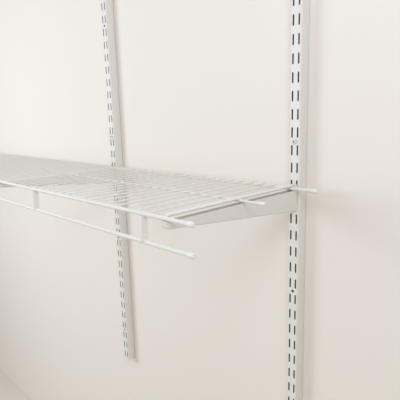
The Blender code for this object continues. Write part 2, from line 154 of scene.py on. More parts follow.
def extrudeOutline(bm, points, axis, low, high):
    # along X the outline is in (y, z), along Y in (x, z), along Z in (x, y)
    def spot(u, v, w):
        return {"X": (w, u, v), "Y": (u, w, v), "Z": (u, v, w)}[axis]
    face = bm.faces.new([bm.verts.new(spot(u, v, low)) for u, v in points])
    grown = bmesh.ops.extrude_face_region(bm, geom=[face])["geom"]
    moved = [item for item in grown if isinstance(item, bmesh.types.BMVert)]
    bmesh.ops.translate(bm, verts=moved, vec=spot(0, 0, high - low))


def addRings(bm, rings):
    # skins a row of rings with equal counts and closes both ends
    loops = [[bm.verts.new(point) for point in ring] for ring in rings]
    count = len(loops[0])
    for first, second in zip(loops, loops[1:]):
        for i in range(count):
            j = (i + 1) % count
            bm.faces.new((first[i], first[j], second[j], second[i]))
    bm.faces.new(list(reversed(loops[0])))
    bm.faces.new(loops[-1])


def turnedRings(profile, sides, origin, along, across):
    # rings of a turned shape; profile is (distance along, radius)
    third = along.cross(across)
    turns = [2 * math.pi * i / sides for i in range(sides)]
    spokes = [across * math.cos(turn) + third * math.sin(turn) for turn in turns]
    return [[origin + along * distance + spoke * radius for spoke in spokes]
            for distance, radius in profile]


# Materials

coatWear = {"speckFrom": 0.66, "speckFull": 0.74, "edgeFrom": 0.53, "edgeFull": 0.60,
            "glossier": 0.06, "duller": 0.08}


def coatMaterial(name, look):
    # A baked coat on steel: a pale pigmented skin with a soft gloss and a fine orange peel.
    # Broad drifts in tone, dust specks and a thinner coat on sheared edges keep it real.
    material = bpy.data.materials.new(name)
    material.use_nodes = True
    tree = material.node_tree
    shader = tree.nodes["Principled BSDF"]
    shader.inputs["IOR"].default_value = 1.5
    shader.inputs["Metallic"].default_value = 0.0
    shader.inputs["Coat Weight"].default_value = look["clear"]
    shader.inputs["Coat Roughness"].default_value = look["clearRoughness"]
    place = addNode(tree, "ShaderNodeTexCoord").outputs["Object"]
    drift = addNode(tree, "ShaderNodeTexNoise",
                    {"Scale": 1 / look["driftSize"], "Detail": 3.0, "Roughness": 0.55},
                    {"Vector": place})
    tone = addNode(tree, "ShaderNodeMix",
                   {"data_type": "RGBA", 6: hexColour(look["cool"]), 7: hexColour(look["warm"])},
                   {0: drift.outputs["Fac"]})
    specks = addNode(tree, "ShaderNodeTexNoise",
                     {"Scale": 1 / look["speckSize"], "Detail": 2.0, "Roughness": 0.7},
                     {"Vector": place})
    speckMask = addNode(tree, "ShaderNodeMapRange",
                        {"From Min": coatWear["speckFrom"], "From Max": coatWear["speckFull"],
                         "To Min": 0.0, "To Max": look["specks"]},
                        {"Value": specks.outputs["Fac"]})
    dusty = addNode(tree, "ShaderNodeMix", {"data_type": "RGBA", 7: hexColour(look["dust"])},
                    {0: speckMask.outputs[0], 6: tone.outputs[2]})
    edge = addNode(tree, "ShaderNodeMapRange",
                   {"From Min": coatWear["edgeFrom"], "From Max": coatWear["edgeFull"],
                    "To Min": 0.0, "To Max": look["edgeWear"]},
                   {"Value": addNode(tree, "ShaderNodeNewGeometry").outputs["Pointiness"]})
    edgeBreak = addNode(tree, "ShaderNodeMath", {"operation": "MULTIPLY"},
                        {0: edge.outputs[0], 1: drift.outputs["Fac"]})
    worn = addNode(tree, "ShaderNodeMix", {"data_type": "RGBA", 7: hexColour(look["edge"])},
                   {0: edgeBreak.outputs[0], 6: dusty.outputs[2]})
    tree.links.new(worn.outputs[2], shader.inputs["Base Color"])
    gloss = addNode(tree, "ShaderNodeMapRange",
                    {"To Min": look["roughness"] - coatWear["glossier"],
                     "To Max": look["roughness"] + coatWear["duller"]},
                    {"Value": drift.outputs["Fac"]})
    tree.links.new(gloss.outputs[0], shader.inputs["Roughness"])
    peel = addNode(tree, "ShaderNodeTexNoise",
                   {"Scale": 1 / look["peelSize"], "Detail": 1.5, "Roughness": 0.45},
                   {"Vector": place})
    pull = addNode(tree, "ShaderNodeTexNoise",
                   {"Scale": 1 / look["rippleSize"], "Detail": 1.0}, {"Vector": place})
    fine = addNode(tree, "ShaderNodeBump",
                   {"Strength": look["peelStrength"], "Distance": look["peelDepth"]},
                   {"Height": peel.outputs["Fac"]})
    broad = addNode(tree, "ShaderNodeBump",
                    {"Strength": look["rippleStrength"], "Distance": look["rippleDepth"]},
                    {"Height": pull.outputs["Fac"], "Normal": fine.outputs["Normal"]})
    tree.links.new(broad.outputs["Normal"], shader.inputs["Normal"])
    return material


# Polyester powder coat on cold rolled steel: satin, warm white, orange peel about 1.5 mm
# across, which is drawn at 2 mm so that it shows.
powderLook = {
    "cool": "#DDDAD6", "warm": "#E1DDD7", "dust": "#C9C3B8", "edge": "#CFCAC1",
    "roughness": 0.40, "clear": 0.12, "clearRoughness": 0.30,
    "driftSize": 90 * mm, "speckSize": 2.2 * mm, "specks": 0.35, "edgeWear": 0.7,
    "peelSize": 2.0 * mm, "peelStrength": 0.35, "peelDepth": 0.06 * mm,
    "rippleSize": 14 * mm, "rippleStrength": 0.25, "rippleDepth": 0.12 * mm,
}
powderCoat = coatMaterial("powderCoatedSteel", powderLook)

# The uprights' coat is a shade whiter. Inside the channel and down the walls of the punched slots
# a dark grey is mixed in as painted shade, so that the slots look dark.
channelCoat = coatMaterial("powderCoatedChannel",
                           {**powderLook, "cool": "#E4E3E0", "warm": "#E9E6E0"})


def paintShadeInside(material, look):
    # painted shade: mixes a dark grey into the colour behind the face's front, out to the middles
    # of the side
    # # walls
    tree = material.node_tree
    colour = tree.nodes["Principled BSDF"].inputs["Base Color"]
    coat = colour.links[0].from_socket
    whole = addNode(tree, "ShaderNodeTexCoord").outputs["Object"]
    place = addNode(tree, "ShaderNodeSeparateXYZ", {}, {0: whole})
    deep = addNode(tree, "ShaderNodeMapRange",
                   {"From Min": look["from"], "From Max": look["full"],
                    "interpolation_type": "SMOOTHSTEP"},
                   {"Value": place.outputs["Y"]})
    aside = addNode(tree, "ShaderNodeMath", {"operation": "ABSOLUTE"}, {0: place.outputs["X"]})
    between = addNode(tree, "ShaderNodeMath", {"operation": "LESS_THAN", 1: look["between"]},
                      {0: aside.outputs[0]})
    inside = addNode(tree, "ShaderNodeMath", {"operation": "MULTIPLY"},
                     {0: deep.outputs[0], 1: between.outputs[0]})
    grain = addNode(tree, "ShaderNodeTexNoise", {"Scale": 1 / look["grain"], "Detail": 4.0},
                    {"Vector": whole})
    steel = addNode(tree, "ShaderNodeMix",
                    {"data_type": "RGBA", 6: hexColour(look["steel"]), 7: hexColour(look["haze"])},
                    {0: grain.outputs["Fac"]})
    paintedShade = addNode(tree, "ShaderNodeMix", {"data_type": "RGBA"},
                   {0: inside.outputs[0], 6: coat, 7: steel.outputs[2]})
    tree.links.new(paintedShade.outputs[2], colour)


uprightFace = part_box("right_upright")[0].y
# painted shade: the two dark greys below darken the channel's inside and the slot walls
paintShadeInside(channelCoat, {"from": uprightFace + 0.1 * mm, "full": uprightFace + 0.8 * mm,
                         "between": 10.1 * mm, "steel": "#6B6966", "haze": "#8D8A85",
                         "grain": 5 * mm})

# Epoxy coat on drawn wire: thicker and smoother than powder on sheet, because it flows round
# the wire, with slow ripples along it.
epoxyCoat = coatMaterial("epoxyCoatedWire", {
    "cool": "#E6E5E3", "warm": "#EAE8E3", "dust": "#CFCAC0", "edge": "#DCD8D0",
    "roughness": 0.48, "clear": 0.10, "clearRoughness": 0.32,
    "driftSize": 60 * mm, "speckSize": 1.8 * mm, "specks": 0.25, "edgeWear": 0.3,
    "peelSize": 3.5 * mm, "peelStrength": 0.2, "peelDepth": 0.05 * mm,
    "rippleSize": 9 * mm, "rippleStrength": 0.3, "rippleDepth": 0.10 * mm})

# Soft polyethylene, injection moulded: matt, a little waxy, with light passing just under
# the surface.
capPlastic = coatMaterial("mouldedPolyethylene", {
    "cool": "#E6E5E1", "warm": "#ECE9E2", "dust": "#CEC8BD", "edge": "#F0EEE9",
    "roughness": 0.50, "clear": 0.0, "clearRoughness": 0.3,
    "driftSize": 12 * mm, "speckSize": 1.2 * mm, "specks": 0.2, "edgeWear": 0.5,
    "peelSize": 0.6 * mm, "peelStrength": 0.3, "peelDepth": 0.03 * mm,
    "rippleSize": 5 * mm, "rippleStrength": 0.15, "rippleDepth": 0.08 * mm})
plastic = capPlastic.node_tree.nodes["Principled BSDF"]
plastic.inputs["Subsurface Weight"].default_value = 0.12
plastic.inputs["Subsurface Scale"].default_value = 1.5 * mm


def zincMaterial():
    # Bright zinc plate on screw steel: a bluish metal, its crystals too fine to see, with
    # turning marks and a hazy passivated film.
    look = {"bright": "#D5D8DA", "haze": "#B9B7AE", "roughness": 0.28, "duller": 0.2,
            "filmSize": 3 * mm, "markSize": 0.5 * mm, "markDepth": 0.02 * mm, "marks": 0.3}
    material = bpy.data.materials.new("zincPlatedSteel")
    material.use_nodes = True
    tree = material.node_tree
    shader = tree.nodes["Principled BSDF"]
    shader.inputs["Metallic"].default_value = 1.0
    place = addNode(tree, "ShaderNodeTexCoord").outputs["Object"]
    film = addNode(tree, "ShaderNodeTexNoise", {"Scale": 1 / look["filmSize"], "Detail": 4.0},
                   {"Vector": place})
    tint = addNode(tree, "ShaderNodeMix",
                   {"data_type": "RGBA", 6: hexColour(look["bright"]), 7: hexColour(look["haze"])},
                   {0: film.outputs["Fac"]})
    tree.links.new(tint.outputs[2], shader.inputs["Base Color"])
    dull = addNode(tree, "ShaderNodeMapRange",
                   {"To Min": look["roughness"], "To Max": look["roughness"] + look["duller"]},
                   {"Value": film.outputs["Fac"]})
    tree.links.new(dull.outputs[0], shader.inputs["Roughness"])
    marks = addNode(tree, "ShaderNodeTexNoise", {"Scale": 1 / look["markSize"], "Detail": 2.0},
                    {"Vector": place})
    bump = addNode(tree, "ShaderNodeBump",
                   {"Strength": look["marks"], "Distance": look["markDepth"]},
                   {"Height": marks.outputs["Fac"]})
    tree.links.new(bump.outputs["Normal"], shader.inputs["Normal"])
    return material


zincPlate = zincMaterial()
print("materials made")


# Uprights: a folded channel, open to the wall, with two columns of punched slots

upright = {
    "wall": 1.8 * mm, "bend": 2.0 * mm, "innerBend": 0.4 * mm, "bendSteps": 8,
    "slotPitch": 31.75 * mm, "slotCount": 38, "slotLength": 18.55 * mm, "slotWidth": 3.2 * mm,
    "slotRoundShare": 0.86, "slotSteps": 5, "columnSpacing": 11.56 * mm,
    "holeWidth": 5.5 * mm, "firstHole": 8, "holeEvery": 9, "holeSides": 32,
    "lipDepth": 8.0 * mm, "lipWall": 1.6 * mm, "lipRise": 10.0 * mm, "trackHalf": 16 * mm,
    "unhookRoom": 12 * mm, "fit": 0.3 * mm, "floorFit": 0.8 * mm, "stripRound": 0.5 * mm,
    "hookRound": 0.8 * mm, "lipRound": 0.6 * mm, "mouthRound": 1.5 * mm, "notchSteps": 4,
    "softEdge": 0.22 * mm,
}


def slotOutline(x, z):
    # straight flanks, round ends and a short flat seat in each end
    half, end = upright["slotWidth"] / 2, upright["slotLength"] / 2
    bend = half * upright["slotRoundShare"]
    return roundCorners([(x - half, z - end, bend), (x + half, z - end, bend),
                         (x + half, z + end, bend), (x - half, z + end, bend)],
                        upright["slotSteps"])


def trackNotch():
    # the side walls reach over the track's upturned lip, with room below to lift off
    low = -upright["trackHalf"]
    lipFront = -upright["lipDepth"] - upright["fit"]
    lipBack = upright["lipWall"] - upright["lipDepth"] + upright["fit"]
    lipTop = low + upright["lipRise"] + upright["fit"]
    hookLow = low + upright["lipWall"] + upright["floorFit"]
    stripFront = -upright["lipWall"] - upright["fit"]
    stripTop = upright["trackHalf"] + upright["fit"]
    mouth = low - upright["unhookRoom"]
    corners = [(overrun, mouth, 0), (overrun, stripTop, 0),
               (stripFront, stripTop, upright["stripRound"]),
               (stripFront, hookLow, upright["hookRound"]),
               (lipBack, hookLow, upright["hookRound"]), (lipBack, lipTop, 0),
               (lipFront, lipTop, upright["lipRound"]), (lipFront, mouth, upright["mouthRound"])]
    return roundCorners(corners, upright["notchSteps"])


def uprightMesh(low, high):
    half = (high.x - low.x) / 2
    inner = half - upright["wall"]
    face, rear = low.y, high.y
    bm = bmesh.new()
    section = roundCorners([(-half, rear, 0), (-half, face, upright["bend"]),
                            (half, face, upright["bend"]), (half, rear, 0), (inner, rear, 0),
                            (inner, face + upright["wall"], upright["innerBend"]),
                            (-inner, face + upright["wall"], upright["innerBend"]),
                            (-inner, rear, 0)], upright["bendSteps"])
    extrudeOutline(bm, section, "Z", low.z, high.z)
    channel = finishMesh("channelBlank", bm, channelCoat)
    cuts = bmesh.new()
    front, back = face - overrun, face + upright["wall"] + overrun
    for row in range(upright["slotCount"]):
        z = high.z - upright["slotPitch"] * (row + 0.5)
        for side in (-1, 1):
            outline = slotOutline(side * upright["columnSpacing"] / 2, z)
            extrudeOutline(cuts, outline, "Y", front, back)
    for row in range(upright["firstHole"], upright["slotCount"], upright["holeEvery"]):
        hole = circlePoints(0, high.z - upright["slotPitch"] * row, upright["holeWidth"] / 2,
                            upright["holeSides"])
        extrudeOutline(cuts, hole, "Y", front, back)
    extrudeOutline(cuts, trackNotch(), "X", -half - overrun, half + overrun)
    return carved("slottedChannel", channel, finishMesh("channelCuts", cuts, channelCoat))


sharedUpright = None
for side in ("right", "middle", "left"):
    node = side + "_upright"
    low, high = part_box(node)
    if sharedUpright is None:
        sharedUpright = uprightMesh(low, high)
    piece = addPiece(side + "UprightChannel", sharedUpright, "wall_frame", node,
                     (middleX(low, high), 0, 0))
    soften(piece, upright["softEdge"])
print("uprights made")


# Hang track: roll formed strip whose lower edge is folded forward and up, with punched holes

track = {
    "wall": 1.6 * mm, "bend": 2.0 * mm, "bendSteps": 8, "hookDepth": 8.0 * mm,
    "hookHeight": 10.0 * mm, "holeWidth": 5.5 * mm, "holeSides": 32, "softEdge": 0.2 * mm,
}

screwNodes = sorted(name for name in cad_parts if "screw" in name)


def trackMesh(low, high, holePlaces):
    wall, depth = track["wall"], track["hookDepth"]
    floor = low.z + wall
    bend, innerBend = track["bend"], track["bend"] - wall
    lipTop = low.z + track["hookHeight"]
    bm = bmesh.new()
    section = roundCorners([(0, low.z, bend), (0, high.z, 0), (-wall, high.z, 0),
                            (-wall, floor, innerBend), (wall - depth, floor, innerBend),
                            (wall - depth, lipTop, 0), (-depth, lipTop, 0),
                            (-depth, low.z, bend)], track["bendSteps"])
    extrudeOutline(bm, section, "X", low.x, high.x)
    strip = finishMesh("trackBlank", bm, powderCoat)
    cuts = bmesh.new()
    for x, z in holePlaces:
        hole = circlePoints(x, z, track["holeWidth"] / 2, track["holeSides"])
        extrudeOutline(cuts, hole, "Y", -wall - overrun, overrun)
    return carved("foldedTrack", strip, finishMesh("trackCuts", cuts, powderCoat))


screwCentres = []
for node in screwNodes:
    if node.startswith("track_screw"):
        low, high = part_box(node)
        screwCentres.append((middleX(low, high), (low.z + high.z) / 2))
low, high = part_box("hang_track")
piece = addPiece("foldedHangTrack", trackMesh(low, high, screwCentres), "wall_frame",
                 "hang_track")
soften(piece, track["softEdge"])
print("track made")


# Screws: painted pan head with a cross recess, rolled thread and a gimlet point

# depthShares and radiusShares go from the middle of the head's top to its flat underside
screw = {
    "headRadius": 4.5 * mm, "headHeight": 3.0 * mm, "shankRadius": 2.1 * mm,
    "depthShares": (1, 0.985, 0.93, 0.80, 0.60, 0.36, 0.06, 0),
    "radiusShares": (0.30, 0.52, 0.70, 0.86, 0.955, 0.995, 1, 0.985),
    "rootRadius": 1.55 * mm, "threadPitch": 1.6 * mm, "threadWidth": 0.55 * mm,
    "threadRise": 0.1 * mm, "threadSink": 0.25 * mm, "crestShare": 0.2, "pointCrestShare": 0.2,
    "pointLength": 6.0 * mm, "pointShare": 0.4, "pointRadiusShare": 0.55,
    "tipLength": 0.2 * mm, "tipRadius": 0.12 * mm, "endRadius": 0.03 * mm,
    "plainShank": 1.2 * mm, "neckShare": 1.5, "threadFromShare": 2, "sides": 32,
    "turnSteps": 20, "recessLong": 2.5 * mm, "recessWide": 0.8 * mm, "recessDeep": 2.6 * mm,
    "recessTaper": 0.6, "paintShare": 0.9, "sharpAngle": 30,
}
alongWall, across = Vector((0, 1, 0)), Vector((1, 0, 0))
third = alongWall.cross(across)


def screwBlank(length):
    plain, root = screw["plainShank"], screw["rootRadius"]
    point = length - screw["pointLength"]
    dome = [(-screw["headHeight"] * depth, screw["headRadius"] * radius)
            for depth, radius in zip(screw["depthShares"], screw["radiusShares"])]
    shank = [(0, screw["shankRadius"]), (plain, screw["shankRadius"]),
             (plain * screw["neckShare"], root), (point, root),
             (length - screw["pointLength"] * screw["pointShare"],
              root * screw["pointRadiusShare"]),
             (length - screw["tipLength"], screw["tipRadius"]), (length, screw["endRadius"])]
    bm = bmesh.new()
    addRings(bm, turnedRings(dome + shank, screw["sides"], Vector((0, 0, 0)), alongWall, across))
    return finishMesh("screwBlank", bm, zincPlate)


def recessTool(long, wide):
    # one arm of the cross, narrower at its bottom
    rings = []
    for depth, scale in ((-overrun, 1.0), (screw["recessDeep"], screw["recessTaper"])):
        centre = alongWall * (depth - screw["headHeight"])
        reach, half = long * screw["recessLong"] * scale, wide * screw["recessWide"] * scale
        rings.append([centre + reach + half, centre - reach + half,
                      centre - reach - half, centre + reach - half])
    bm = bmesh.new()
    addRings(bm, rings)
    return finishMesh("recessTool", bm, zincPlate)


def threadRings(length):
    # a wedge wound about the shank, which rises out of it and dies away towards the point
    start = screw["plainShank"] * screw["threadFromShare"]
    point = length - screw["pointLength"]
    rootRadius, rise = screw["rootRadius"], screw["shankRadius"] - screw["rootRadius"]
    half = screw["threadWidth"] / 2
    steps = int((length - start) / screw["threadPitch"] * screw["turnSteps"])
    rings = []
    for i in range(steps + 1):
        at = start + screw["threadPitch"] * i / screw["turnSteps"]
        toPoint = max(0.0, at - point) / screw["pointLength"]
        runIn = min(1.0, i / screw["turnSteps"])
        core = rootRadius * (1 - toPoint) + screw["threadRise"]
        crest = core + rise * runIn * (1 - toPoint * (1 - screw["pointCrestShare"]))
        sunk = core - screw["threadSink"] * (1 - toPoint)
        angle = 2 * math.pi * i / screw["turnSteps"]
        spoke = across * math.cos(angle) + third * math.sin(angle)
        rings.append([spoke * sunk + alongWall * (at - half),
                      spoke * crest + alongWall * (at - half * screw["crestShare"]),
                      spoke * crest + alongWall * (at + half * screw["crestShare"]),
                      spoke * sunk + alongWall * (at + half)])
    return rings


def screwMesh(length):
    # the arms of the cross are cut one after the other
    cutBody = screwBlank(length)
    for long, wide in ((across, third), (third, across)):
        cutBody = carved("crossHeadScrew", cutBody, recessTool(long, wide))
    bm = bmesh.new()
    bm.from_mesh(cutBody)
    addRings(bm, threadRings(length))
    mesh = finishMesh("crossHeadScrew", bm, zincPlate, screw["sharpAngle"])
    # the head is painted like the wall hardware, but the driver has bared the recess
    mesh.materials.append(powderCoat)
    for face in mesh.polygons:
        out, depth = math.hypot(face.center.x, face.center.z), -face.center.y
        inRecess = out < screw["recessLong"] and depth < screw["headHeight"] * screw["paintShare"]
        if depth > 0 and not inRecess:
            face.material_index = 1
    return mesh


screwMeshes = {}
for node in screwNodes:
    low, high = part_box(node)
    seat = low.y + screw["headHeight"]
    length = round(high.y - seat, 5)
    if length not in screwMeshes:
        screwMeshes[length] = screwMesh(length)
    first, *others = node.split("_")
    name = first + "".join(word.capitalize() for word in others) + "CrossHead"
    addPiece(name, screwMeshes[length], "wall_frame", node,
             (middleX(low, high), seat, (low.z + high.z) / 2))
print("screws made:", len(screwNodes))


# Brackets: one sheet folded up into a tapered trough, with two hooks on each side

bracket = {
    "wall": 1.5 * mm, "fit": 0.3 * mm, "noseBend": 4.0 * mm, "foldBend": 2.0 * mm,
    "foldSteps": 6, "arcSteps": 8, "lipRise": 1.1 * mm, "noseHeight": 9.7 * mm,
    "heel": 7.2 * mm, "neckDrop": 0.5 * mm, "neckHeight": 8.5 * mm, "tongueDrop": 5.0 * mm,
    "tongueDepth": 2.9 * mm, "tongueBend": 1.2 * mm, "earDepth": 5.4 * mm,
    "earHeight": 10.9 * mm, "earRound": 0.4 * mm, "blankLipShare": 1.5,
    "softEdge": 0.2 * mm, "near": 0.01 * mm,
}


def bracketMesh(low, high):
    # the side walls run just inside the outer edges of the slots
    wall, fit, near = bracket["wall"], bracket["fit"], bracket["near"]
    half = (upright["columnSpacing"] + upright["slotWidth"]) / 2 - fit
    noseFront, noseBack = low.y, low.y + wall
    blankBack = noseFront + bracket["foldBend"] * bracket["blankLipShare"]
    rear, earFront = uprightFace - fit, uprightFace - bracket["earDepth"]
    tongueFront = uprightFace + upright["wall"] + fit
    tongueBack = tongueFront + bracket["tongueDepth"]
    upperNeck = high.z - bracket["neckHeight"]
    lowerNeck = upperNeck - upright["slotPitch"]
    earTop, top = upperNeck + bracket["earHeight"], upperNeck + bracket["neckDrop"]
    lipTop = top + bracket["lipRise"]
    noseLow, heelLow = top - bracket["noseHeight"], lowerNeck - bracket["heel"]
    slope = (noseLow - heelLow) / (noseFront - rear)

    def underside(y):
        return heelLow + slope * (y - rear)

    def hook(neckLow):
        tongueLow, bend = neckLow - bracket["tongueDrop"], bracket["tongueBend"]
        return [(rear, neckLow, 0), (tongueFront, neckLow, 0), (tongueFront, tongueLow, 0),
                (tongueBack, tongueLow, bend), (tongueBack, neckLow + bracket["neckHeight"], bend)]

    corners = [(noseFront, lipTop, 0), (noseFront, underside(noseFront), bracket["noseBend"]),
               (rear, underside(rear), 0), *hook(lowerNeck),
               (rear, lowerNeck + bracket["neckHeight"], 0), *hook(upperNeck),
               (rear, high.z, 0), (rear, earTop, bracket["earRound"]),
               (earFront, earTop, bracket["tongueBend"]), (earFront, top, 0),
               (blankBack, top, 0), (blankBack, lipTop, 0)]
    bm = bmesh.new()
    extrudeOutline(bm, roundCorners(corners, bracket["arcSteps"]), "X", -half, half)

    def folded(vert):
        y, z = vert.co.y, vert.co.z
        onNose = y < noseFront + near
        onWeb = y < rear + near and z < underside(y) + bracket["noseBend"]
        return onNose or onWeb

    folds = []
    for edge in bm.edges:
        first, second = edge.verts
        alongOutline = (first.co.x * second.co.x > 0
                        and (first.co - second.co).length > near)
        if alongOutline and folded(first) and folded(second):
            folds.append(edge)
    bmesh.ops.bevel(bm, geom=folds, offset=bracket["foldBend"], offset_type="OFFSET",
                    affect="EDGES", segments=bracket["foldSteps"], profile=0.5)
    shell = finishMesh("bracketBlank", bm, powderCoat)
    # the folds round further than the sheet is thick, so the lip is trimmed after them
    web = wall * math.sqrt(1 + slope * slope)
    tail, over = tongueBack + overrun, earTop + overrun
    trim = bmesh.new()
    behind = blankBack + overrun
    extrudeOutline(trim, [(noseBack, over), (noseBack, top), (behind, top), (behind, over)],
                   "X", -half - overrun, half + overrun)
    shell = carved("trimmedBlank", shell, finishMesh("lipTrim", trim, powderCoat))
    # the hollow is cut out from above and leaves one thickness of sheet all round
    inside = roundCorners([(noseBack, over, 0),
                           (noseBack, underside(noseBack) + web, bracket["noseBend"] - wall),
                           (tail, underside(tail) + web, 0), (tail, over, 0)],
                          bracket["arcSteps"])
    hollow = bmesh.new()
    extrudeOutline(hollow, inside, "X", wall - half, half - wall)
    return carved("foldedBracket", shell, finishMesh("bracketHollow", hollow, powderCoat))


sharedBracket = None
for side in ("right", "middle", "left"):
    node = side + "_bracket"
    low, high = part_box(node)
    if sharedBracket is None:
        sharedBracket = bracketMesh(low, high)
    piece = addPiece(side + "FoldedBracket", sharedBracket, node, node,
                     (middleX(low, high), 0, 0))
    soften(piece, bracket["softEdge"])
print("brackets made")


# Wire shelf: straight drawn rods, with thin wires across them and a weld at each crossing

shelf = {
    "rodSides": 32, "midRodSides": 24, "wireSides": 16, "endWireSides": 28,
    "wireRadius": 1.25 * mm, "endWireRadius": 2.85 * mm, "midRodRadius": 2.1 * mm,
    "rodRadius": 3.175 * mm, "midRodShare": 0.497, "wireStep": 25.9 * mm, "wireInset": 33.5 * mm,
    "rodRoundShare": 0.22, "facetInsetShare": 0.35, "facetCutShare": 0.3,
    "wireRoundShare": 0.35, "spans": 12,
    "weldReach": 3.4 * mm, "weldSink": 0.75 * mm, "endWeldSink": 0.3 * mm, "weldSteps": 6,
    "weldSpread": 0.45, "weldClearShare": 1.2, "bow": 0.22 * mm, "seed": 41,
}
rodPlaces = {}
for node in ("front_rod", "hang_rod", "back_rod"):
    low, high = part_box(node)
    rodPlaces[node] = ((low + high) / 2, (high.x - low.x) / 2)
deckLow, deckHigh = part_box("deck_grid")
endLow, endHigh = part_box("right_end_wire")
wireMiddleZ = deckHigh.z - shelf["wireRadius"]
frontY, backY = rodPlaces["front_rod"][0].y, rodPlaces["back_rod"][0].y
midRodMiddle = Vector((0, backY + (frontY - backY) * shelf["midRodShare"],
                       deckLow.z + shelf["midRodRadius"]))
crossingPlaces = (frontY, midRodMiddle.y, backY)


def rodRings(middle, half, radius, sides):
    # a drawn rod with its sheared ends rounded over in two facets
    rounding = radius * shelf["rodRoundShare"]
    inset, cut = rounding * shelf["facetInsetShare"], rounding * shelf["facetCutShare"]
    profile = [(-half, radius - rounding), (inset - half, radius - cut),
               (rounding - half, radius), (half - rounding, radius),
               (half - inset, radius - cut), (half, radius - rounding)]
    return turnedRings(profile, sides, middle, Vector((1, 0, 0)), Vector((0, 1, 0)))


def wireStops(radius, front, rear, crossings):
    # radii by place along Y: close together at each weld, far apart between them
    rounding = radius * shelf["wireRoundShare"]
    stops = {front: radius - rounding, front + rounding: radius,
             rear - rounding: radius, rear: radius - rounding}
    for crossY, _ in crossings:
        for i in range(-shelf["weldSteps"], shelf["weldSteps"] + 1):
            y = crossY + shelf["weldReach"] * i / shelf["weldSteps"]
            if front + rounding < y < rear - rounding:
                stops[y] = radius
    for i in range(1, shelf["spans"]):
        y = front + (rear - front) * i / shelf["spans"]
        clear = min(abs(y - crossY) for crossY, _ in crossings)
        if clear > shelf["weldReach"] * shelf["weldClearShare"]:
            stops[y] = radius
    return stops


def weldedWireRings(middle, radius, sides, front, rear, crossings, lean):
    # a wire along Y; where it crosses a rod its underside is drawn down and outwards as a weld
    stops = wireStops(radius, front, rear, crossings)
    rings = []
    for y in sorted(stops):
        aside = lean * math.sin(math.pi * (y - front) / (rear - front))
        ring = []
        for i in range(sides):
            angle = 2 * math.pi * i / sides
            outX, outZ = math.cos(angle) * stops[y], math.sin(angle) * stops[y]
            for crossY, sink in crossings:
                away = abs(y - crossY) / shelf["weldReach"]
                if away < 1 and outZ < 0:
                    pull = (1 - away * away) ** 2 * (-outZ / radius)
                    outZ -= sink * pull
                    outX *= 1 + shelf["weldSpread"] * pull * (1 - away)
            ring.append(Vector((middle[0] + aside + outX, y, middle[1] + outZ)))
        rings.append(ring)
    return rings


for node, (middle, half) in rodPlaces.items():
    bm = bmesh.new()
    addRings(bm, rodRings(middle, half, shelf["rodRadius"], shelf["rodSides"]))
    name = node.replace("_rod", "RodDrawn")
    addPiece(name, finishMesh(name, bm, epoxyCoat), "shelf", node)

chance = random.Random(shelf["seed"])
crossings = [(y, shelf["weldSink"]) for y in crossingPlaces]
bm = bmesh.new()
addRings(bm, rodRings(midRodMiddle, (deckHigh.x - deckLow.x) / 2, shelf["midRodRadius"],
                      shelf["midRodSides"]))
firstWire = middleX(endLow, endHigh) - shelf["wireInset"]
wireCount = round(2 * firstWire / shelf["wireStep"]) + 1
for i in range(wireCount):
    x = firstWire - shelf["wireStep"] * i + chance.uniform(-1, 1) * shelf["bow"]
    lean = chance.uniform(-1, 1) * shelf["bow"]
    addRings(bm, weldedWireRings((x, wireMiddleZ), shelf["wireRadius"], shelf["wireSides"],
                                 deckLow.y, deckHigh.y, crossings, lean))
addPiece("weldedDeckGrid", finishMesh("weldedDeckGrid", bm, epoxyCoat), "shelf",
         "deck_grid")

for side in ("right", "left"):
    node = side + "_end_wire"
    low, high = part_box(node)
    bm = bmesh.new()
    crossings = [(y, shelf["endWeldSink"]) for y in crossingPlaces]
    middle = (middleX(low, high), low.z + shelf["endWireRadius"])
    addRings(bm, weldedWireRings(middle, shelf["endWireRadius"], shelf["endWireSides"],
                                 low.y, high.y, crossings, 0))
    name = side + "EndWireWelded"
    addPiece(name, finishMesh(name, bm, epoxyCoat), "shelf", node)
print("deck made:", wireCount, "wires")


# Straps: flat bar, sheared to length and resistance welded between front and hanging rod

strap = {
    "saddleRise": 0.9 * mm, "seatGap": 0.09 * mm, "edgeBend": 0.8 * mm, "arcSteps": 6,
    "softEdge": 0.7 * mm, "softSegments": 3, "weldRadius": 0.9 * mm, "weldSteps": 14,
    "weldSides": 10, "weldTurnShare": 1.05, "weldEndShare": 0.25, "weldFullness": 0.6,
}


def weldBead(x, level, facing, reach):
    # follows the rod's round for the width of the strap and thins towards its ends
    rings = []
    for i in range(strap["weldSteps"] + 1):
        share = i / strap["weldSteps"]
        angle = reach * (2 * share - 1)
        fullness = math.sin(math.pi * share) ** strap["weldFullness"]
        bead = strap["weldRadius"] * (strap["weldEndShare"]
                                      + (1 - strap["weldEndShare"]) * fullness)
        outward = Vector((0, math.sin(angle), facing * math.cos(angle)))
        centre = Vector((x, 0, level)) + outward * shelf["rodRadius"]
        turns = [2 * math.pi * k / strap["weldSides"] for k in range(strap["weldSides"])]
        rings.append([centre + Vector((bead * math.cos(turn), 0, 0))
                      + outward * bead * math.sin(turn) for turn in turns])
    return rings


